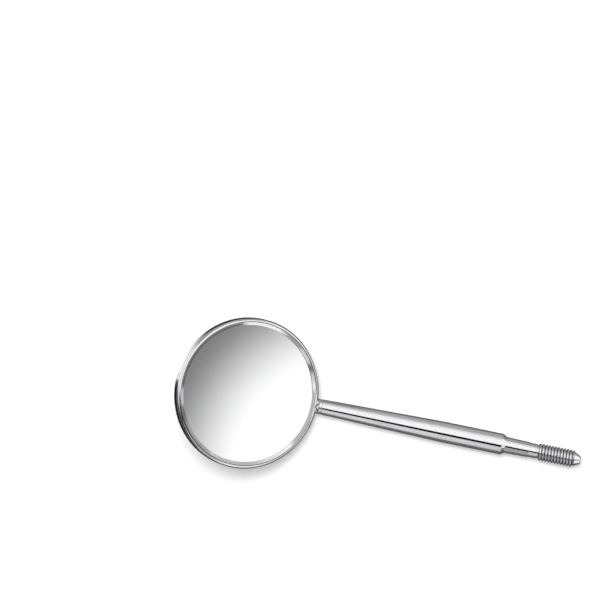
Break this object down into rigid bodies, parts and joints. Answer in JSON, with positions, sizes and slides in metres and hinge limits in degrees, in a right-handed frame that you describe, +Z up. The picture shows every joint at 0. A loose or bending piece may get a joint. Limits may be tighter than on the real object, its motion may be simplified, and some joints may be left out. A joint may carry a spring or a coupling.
{
  "type": "mouth mirror",
  "caption": "Round mouth mirror: a glass mirror held by the rolled edge of a shallow steel cup, welded at an angle to a tapered stem that ends in a fine screw thread.",
  "frame": {"origin": "on the stem's axis, where the thread starts", "axes": "+X along the stem, out of its threaded end; +Z up on the side that the mirror faces; y = 0 is the plane of symmetry"},
  "size_m": [0.0595, 0.022, 0.0118],
  "materials": {
    "cup_steel": "polished stainless steel with fine circular marks",
    "stem_steel": "polished stainless steel with fine turning marks",
    "weld_steel": "dressed weld, satin",
    "reflector": "front-surface mirror coating",
    "glass": "clear, ground edge",
    "seal": "matt",
    "pad": "matt"
  },
  "bodies": {
    "root": {"head_cup": "cup_steel", "backing_pad": "pad", "mirror_glass": "glass", "mirror_coating": "reflector", "edge_seal": "seal", "stem": "stem_steel", "weld_fillets": "weld_steel"}
  },
  "joints": []
}
